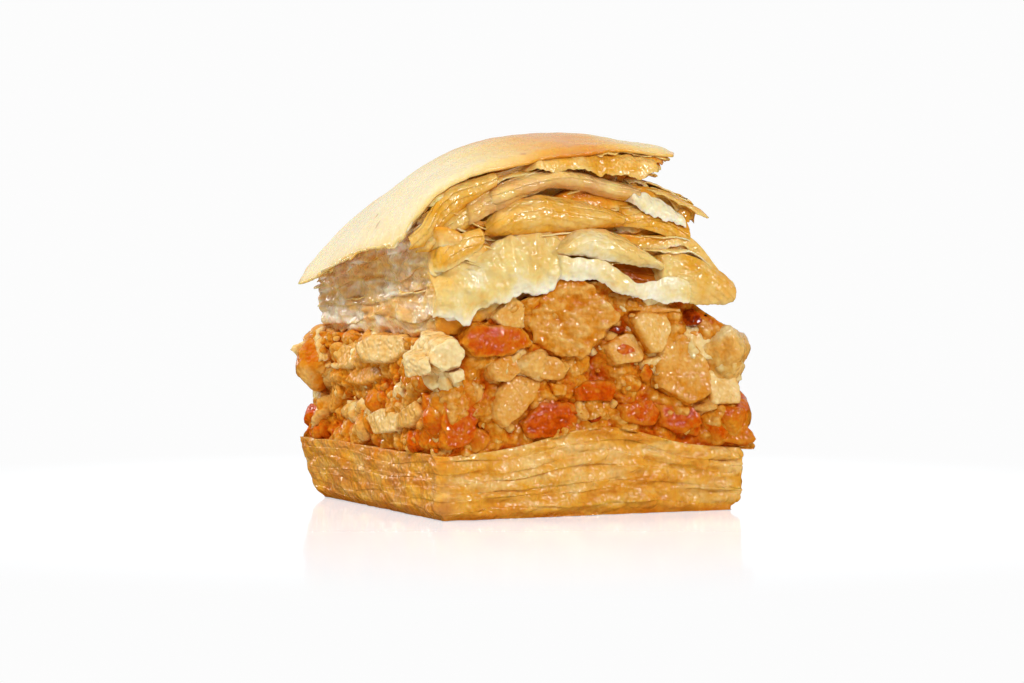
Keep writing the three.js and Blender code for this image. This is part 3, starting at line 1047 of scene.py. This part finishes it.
# %% Nuts laid one by one
FRONT_NUTS = {
    # name: (tone of the face, tone of the sides, how far it stands out, wrinkles, outline)
    "walnut": (0.45, 0.6, 1.9, 0.42, [
        (-9.5, 24), (-7.5, 21), (-2.5, 19.5), (3, 24.5), (1, 27.5), (-2, 30), (-6, 30.4),
    ]),
    "browned_flat": (0.72, 0.5, 1.8, 0.12, [
        (-19, 21.5), (-17, 24.5), (-10, 23.5), (-8.5, 21.5), (-11.5, 20.4), (-17, 20),
    ]),
    "pale_wedge": (0.3, 0.3, 1.2, 0.05, [
        (-14.5, 25), (-11.5, 28), (-9.5, 26.5), (-9.5, 23.5), (-12.5, 23.2),
    ]),
    "gold_slab": (0.42, 0.5, 1.0, 0.03, [(1.5, 28), (6, 27.6), (12.5, 25.6), (11, 24), (7.5, 25), (3, 25)]),
    "tan_block": (0.32, 0.42, 1.7, 0.03, [
        (0.5, 21.5), (3.5, 23), (5.5, 23), (7, 20), (6.5, 19), (2, 18.6),
    ]),
    "gold_wedge": (0.22, 0.58, 1.6, 0.05, [(4.5, 24.5), (6, 25.6), (10, 25), (11, 23.5), (9, 20), (7, 20)]),
    "pale_lump": (0.4, 0.5, 1.5, 0.12, [
        (8.5, 20.5), (11, 23.5), (13.5, 22.5), (16, 19), (16, 15), (13, 13.6), (8.5, 16),
    ]),
    "grey_chunk": (0.14, 0.3, 1.2, 0.08, [(12, 23.5), (16.5, 24), (19.5, 20.5), (19, 18.6), (13, 19.2)]),
    "pale_block": (0.12, 0.4, 1.3, 0.06, [(15, 18), (19.5, 19), (20.7, 16.5), (20.5, 13.5), (16, 13.5)]),
    "shiny_gold": (0.42, 0.5, 1.6, 0.04, [
        (-10, 19.6), (-8.5, 20.6), (-5.5, 20), (-3.5, 18.5), (-5, 17), (-8, 17.3),
    ]),
    "tan_chunk": (0.4, 0.5, 1.4, 0.06, [
        (-15, 19), (-12.5, 20.6), (-10, 20), (-10, 18), (-12, 16.8), (-14.5, 17.3),
    ]),
    "small_gold": (0.48, 0.6, 1.2, 0.03, [(-6.5, 17), (-4, 16.4), (-4.2, 15.2), (-6, 15)]),
    "orange_nut": (0.74, 0.68, 1.6, 0.03, [
        (-3, 16), (-1.5, 17.1), (2, 17), (3, 15.6), (2.5, 14), (-2.5, 14.2),
    ]),
    "long_tan": (0.4, 0.45, 1.5, 0.08, [
        (-11, 18), (-7, 17.2), (-7.5, 15.5), (-10, 13), (-13, 11), (-15, 12.5), (-14, 15.5),
    ]),
    "red_chunk": (0.8, 0.74, 1.2, 0.2, [
        (-10.5, 12), (-7.5, 14.4), (-3.5, 14), (-2, 11.8), (-4.5, 10.5), (-9.5, 9.8),
    ]),
    "toe_lump": (0.62, 0.66, 1.2, 0.1, [(15.5, 13), (20.5, 13), (23, 9), (21.5, 7.9), (17, 8.6)]),
    "stained_lump": (0.74, 0.7, 1.2, 0.2, [
        (-21, 15), (-18.5, 15.6), (-15.5, 13.5), (-16, 10), (-18.5, 8.6), (-21, 9),
    ]),
    "cream_flake": (0.0, 0.1, 2.4, 0.2, [
        (-23, 19.5), (-22, 22.4), (-19.6, 22.8), (-18.2, 21), (-18.6, 18.6), (-21, 18),
    ]),
    "low_flake": (0.02, 0.1, 2.2, 0.15, [(-20.6, 18.6), (-18.4, 19), (-18, 17.2), (-19.6, 16.6)]),
    "side_flake": (0.0, 0.1, 2.0, 0.15, [(-24, 20), (-22.6, 20.6), (-22.2, 18.4), (-23.6, 18)]),
    "dark_bead": (1.0, 1.0, 1.9, 0.03, [
        (12.4, 24.2), (13, 25.5), (14.2, 25.6), (14.9, 24.4), (14, 23.3), (12.8, 23.3),
    ]),
    "dark_bit": (0.97, 0.97, 1.5, 0.08, [(1.6, 23), (2.4, 23.9), (4.2, 23.8), (4.4, 22.9), (3, 22.4)]),
    "burnt_bit": (1.0, 1.0, 1.6, 0.06, [(-1.3, 12.2), (0.2, 12.9), (1, 12.5), (0.4, 11.8), (-0.8, 11.6)]),
    "stained_middle": (0.72, 0.75, 1.2, 0.2, [(3, 14), (8, 14.5), (9.5, 12.5), (8, 11), (3.5, 11.5)]),
    "stained_right": (0.75, 0.7, 1.2, 0.2, [(8.5, 13.8), (14, 13.5), (15.5, 11), (12, 9.8), (9, 10.8)]),
}
LEFT_NUTS = {
    "cream_cube": (0.17, 0.3, 1.8, 0.05, [(-2, 11.8), (3.5, 13.2), (9, 13), (9, 10.2), (2, 9.3)]),
    "tan_wedge": (0.3, 0.35, 1.6, 0.05, [(9, 13), (14, 15), (16, 13), (13, 11), (9, 10.5)]),
    "cream_chunk": (0.16, 0.4, 1.8, 0.06, [
        (-3, 21), (1, 22.5), (8.5, 22.8), (11, 20.5), (6.5, 18.6), (0, 18.8),
    ]),
    "yellow_chunk": (0.3, 0.45, 1.2, 0.04, [
        (-12.5, 19.5), (-9.5, 21.5), (-5.5, 21), (-5.5, 18), (-10.5, 17.5),
    ]),
    "pale_shoulder": (0.18, 0.3, 2.8, 0.1, [
        (-21.5, 19.5), (-20.5, 21.8), (-16, 21.8), (-13.5, 19), (-16, 16.5), (-20.5, 16.8),
    ]),
    "gold_chunk": (0.4, 0.6, 1.3, 0.05, [(-9, 16), (-6, 18), (1, 18.5), (3.5, 17), (-2, 15.5)]),
    "orange_toe": (0.72, 0.7, 2.0, 0.12, [
        (-21.5, 8.5), (-20, 10.8), (-15.5, 10.8), (-15.5, 8), (-20, 7.4),
    ]),
    "tan_mass": (0.42, 0.5, 1.0, 0.14, [(-19, 17), (-12.5, 18), (-10.5, 14), (-13, 11.5), (-19, 12)]),
    "stained_chunk": (0.58, 0.6, 1.2, 0.08, [(10, 20), (16.5, 21), (18, 16.5), (12, 15), (9, 17)]),
}


CUT_DEPTH = HALF - 1.2
WIDE_NUT = 4.97


def outline_cuts(outline, stand_out, behind, random):
    """The knife cuts of a nut with this outline: its edges, a face that leans a little, a back.

    They are measured from a point `behind` mm under the outline, so that the face is well meshed.
    """
    outline = np.array(outline, float)
    centre = outline.mean(axis=0)
    normals, distances = [], []
    for start, end in zip(outline, np.roll(outline, -1, axis=0)):
        side = np.array([end[1] - start[1], start[0] - end[0]])
        side /= np.linalg.norm(side)
        away = float(side @ (start - centre))
        if away < 0:
            side, away = -side, -away
        lean = np.radians(random.uniform(2, 16))
        normals.append((side[0] * np.cos(lean), side[1] * np.cos(lean), np.sin(lean)))
        distances.append(away * np.cos(lean) + behind * np.sin(lean))
    face = np.array([random.uniform(-0.18, 0.18), random.uniform(-0.05, 0.3), 1.0])
    normals += [tuple(face / np.linalg.norm(face)), (0, 0, -1)]
    distances += [stand_out + behind, 1.5]
    return centre, np.array(normals), np.array(distances)


def lay_nuts(name, nuts, side, seed):
    """Lays nuts in a cut. A cut's own directions are along it, up, and out of it."""
    random = np.random.default_rng(seed)
    bm = bmesh.new()
    along, up, out = np.array(side[0]), np.array((0, 0, 1)), np.array(side[1])
    turned = np.stack([along, up, out], axis=1)
    tones = []
    for face_tone, side_tone, stand_out, wrinkle, outline in nuts.values():
        widest = max(np.hypot(*(np.array(outline) - np.mean(outline, axis=0)).T))
        behind = 0.7 * widest
        centre, normals, distances = outline_cuts(outline, stand_out, behind, random)
        place = along * centre[0] + up * centre[1] + out * (CUT_DEPTH - behind)
        shades = side_tone + random.uniform(-0.1, 0.1, len(normals))
        shades[-2] = face_tone
        detail = 6 if widest > WIDE_NUT else 5
        cuts = (normals, distances)
        longest = 1.1 * np.hypot(widest, behind + stand_out)
        tones.append(add_chunk(bm, detail, cuts, longest, place, turned, wrinkle, shades, random))
    return finish(bm, name, chopped_nut, {"tone": np.concatenate(tones)})


FRONT_SIDE = ((1, 0, 0), (0, -1, 0))
LEFT_SIDE = ((0, -1, 0), (-1, 0, 0))
front_nuts = lay_nuts("front_nuts", FRONT_NUTS, FRONT_SIDE, seed=5)
left_nuts = lay_nuts("left_nuts", LEFT_NUTS, LEFT_SIDE, seed=6)

# %% [markdown]
# ## The rest of the nuts
#
# Small nuts fill the spaces between the large ones, nuts of all sizes cover the two far cuts, and
# some have fallen where the filling slumps under the lid's right end.
# They are scattered with a fixed seed, a little deeper than the large ones, so that they only show
# where there is room. Their cuts are random.

# %% Scattered nuts and crumbs
CUTS = 9
FLATNESS = 0.42
ALL_SIDES = (0, 1)
ALL_LEVELS = (0.03, 0.97)


def scatter(
    name, count, sizes, detail, depth, tones, seed, material, turns=ALL_SIDES, levels=ALL_LEVELS
):
    """One piece of many nuts, somewhere in these ranges of turn and level, at these shares deep."""
    random = np.random.default_rng(seed)
    bm = bmesh.new()
    shades_made = []
    for _ in range(count):
        turn = np.array([random.uniform(*turns)]) % 1
        level = np.array([random.uniform(*levels)])
        x, y = filling_outline(turn, level)
        out_x, out_y = outwards(filling_outline, turn, level)
        size = random.uniform(*sizes)
        back = size * random.uniform(*depth) + 0.3
        room = size * 0.8
        low = foot_top(x, y)[0] + room * 0.4
        high = filling_ceiling(x, y)[0] - room * 0.4
        place = (x[0] - out_x[0] * back, y[0] - out_y[0] * back, lerp(low, high, level[0]))
        cuts = random_cuts(random, CUTS, size, FLATNESS)
        turned = Euler(random.uniform(0, 6.28, 3)).to_matrix()
        shade = random.uniform(*tones) + 0.2 * (1 - level[0]) ** 2
        shades = shade + random.uniform(-0.14, 0.14, CUTS)
        wrinkle = 0.07 * size
        made = add_chunk(bm, detail, cuts, 1.15 * size, place, turned, wrinkle, shades, random, sharp=26)
        shades_made.append(made)
    return finish(bm, name, material, {"tone": np.concatenate(shades_made)})


FAR_SIDES = {"turns": (-0.125, 0.375)}
SLUMPED = {"turns": (-0.11, 0.12), "levels": (0.94, 1.0)}
far_nuts = scatter("far_nuts", 70, (2.2, 4.2), 4, (0.75, 1.0), (0.22, 0.62), 61, chopped_nut, **FAR_SIDES)
slump_nuts = scatter("slump_nuts", 60, (1.2, 2.6), 4, (0.2, 1.3), (0.2, 0.62), 64, chopped_nut, **SLUMPED)
small_nuts = scatter("small_nuts", 240, (1.2, 2.5), 3, (0.5, 1.0), (0.15, 0.6), 62, chopped_nut)
crumbs = scatter("nut_crumbs", 600, (0.3, 0.85), 2, (0.3, 1.6), (0.2, 0.62), 63, caramel)

# %% [markdown]
# ## Studio
#
# The piece stands on a glossy white table in an even white room. Soft lamps give it its light, from
# the upper left, the front and the right, but aren't mirrored in it. Small lamps are only seen
# mirrored, as glints on the syrup. The table isn't mirrored in the piece either, and the room only
# from behind, because a white haze over the whole piece would wash its amber out.

# %% Floor, light and camera
WHITE = 0.975
ROOM_LIGHT = 0.2
BEHIND = (0.25, 0.65, 0.72)
WALL_EDGE = (0.6, 0.75)
TABLE_FADE = (0.03, 0.11)
UNDER_THE_PIECE = 0.00005


def make_floor():
    bm = bmesh.new()
    bmesh.ops.create_grid(bm, x_segments=1, y_segments=1, size=4.0)
    mesh = bpy.data.meshes.new("floor")
    bm.to_mesh(mesh)
    bm.free()
    floor = bpy.data.objects.new("floor", mesh)
    bpy.context.scene.collection.objects.link(floor)
    settings = {
        "Base Color": (0.36, 0.38, 0.43, 1),
        "Roughness": 0.1,
        "Specular IOR Level": 0.22,
        "Emission Color": (0.95, 0.98, 1, 1),
        "Emission Strength": 0.56,
    }
    material, shader, place = new_material("white_table", settings)
    away = place.node("ShaderNodeVectorMath", {"operation": "LENGTH"}, {0: place}, output="Value")
    glow = place.node("ShaderNodeEmission", None, {"Strength": WHITE})
    table = Wire(place.tree, shader.outputs[0])
    fade = away.between(*TABLE_FADE)
    both = fade.node("ShaderNodeMixShader", None, {0: fade, 1: table, 2: glow})
    place.tree.links.new(both.socket, place.tree.nodes["Material Output"].inputs["Surface"])
    mesh.materials.append(material)
    floor.location.z = cad_bounds[0][2] - UNDER_THE_PIECE
    floor.visible_glossy = False
    return floor


def make_world():
    world = bpy.data.worlds.new("white_room")
    bpy.context.scene.world = world
    world.use_nodes = True
    world.cycles.sampling_method = "NONE"
    tree = world.node_tree
    background = tree.nodes["Background"]
    background.inputs["Color"].default_value = (1, 1, 1, 1)
    path = tree.nodes.new("ShaderNodeLightPath")
    seen = Wire(tree, path.outputs["Is Camera Ray"])
    mirrored = Wire(tree, path.outputs["Is Glossy Ray"])
    direction = Wire(tree, tree.nodes.new("ShaderNodeTexCoord").outputs["Generated"])
    dot = {"operation": "DOT_PRODUCT"}
    behind = direction.node("ShaderNodeVectorMath", dot, {0: direction, 1: BEHIND}, output="Value")
    glow = mirrored * behind.between(*WALL_EDGE)
    white = (seen + glow).clamped() * (WHITE - ROOM_LIGHT)
    connect(background, {"Strength": white + ROOM_LIGHT - mirrored * ROOM_LIGHT})
    return world


def make_lamp(name, place, aim, size, power):
    light = bpy.data.lights.new(name, "AREA")
    light.shape = "DISK"
    light.size = size
    light.energy = power
    lamp = bpy.data.objects.new(name, light)
    bpy.context.scene.collection.objects.link(lamp)
    lamp.location = place
    lamp.rotation_euler = (Vector(aim) - Vector(place)).to_track_quat("-Z", "Y").to_euler()
    return lamp


floor = make_floor()
make_world()
PIECE_MIDDLE = (0, 0, 0.02)
soft_lamps = [
    make_lamp("key", (-0.42, 0.1, 0.5), PIECE_MIDDLE, 0.22, 2.9),
    make_lamp("front_fill", (-0.2, -0.55, 0.34), PIECE_MIDDLE, 0.16, 1.85),
    make_lamp("right_fill", (0.42, -0.36, 0.26), PIECE_MIDDLE, 0.12, 1.2),
]
for lamp in soft_lamps:
    lamp.visible_glossy = False
glint_lamps = [
    make_lamp("glint_front", (0.25, -0.54, 0.28), PIECE_MIDDLE, 0.08, 1.5),
    make_lamp("glint_left", (-0.22, 0.6, 0.14), PIECE_MIDDLE, 0.06, 0.22),
    make_lamp("glint_above", (0.05, -0.35, 0.5), PIECE_MIDDLE, 0.07, 1.2),
]
for lamp in glint_lamps:
    lamp.visible_diffuse = False

CAMERA_TURN = 24.497
CAMERA_TILT = 1.939
camera_data = bpy.data.cameras.new("camera")
camera_data.lens = 110
camera_data.sensor_width = 36
camera = bpy.data.objects.new("camera", camera_data)
bpy.context.scene.collection.objects.link(camera)
camera.location = TO_ROW @ Vector((-171.25, -371.99, 35.03))
camera.rotation_euler = Euler(np.radians((90 - CAMERA_TILT, 0, -CAMERA_TURN)))
bpy.context.scene.camera = camera
bpy.context.scene.view_settings.view_transform = "Standard"
bpy.context.scene.view_settings.look = "None"
print("the camera is", round(camera.location.length * 1000), "mm away")
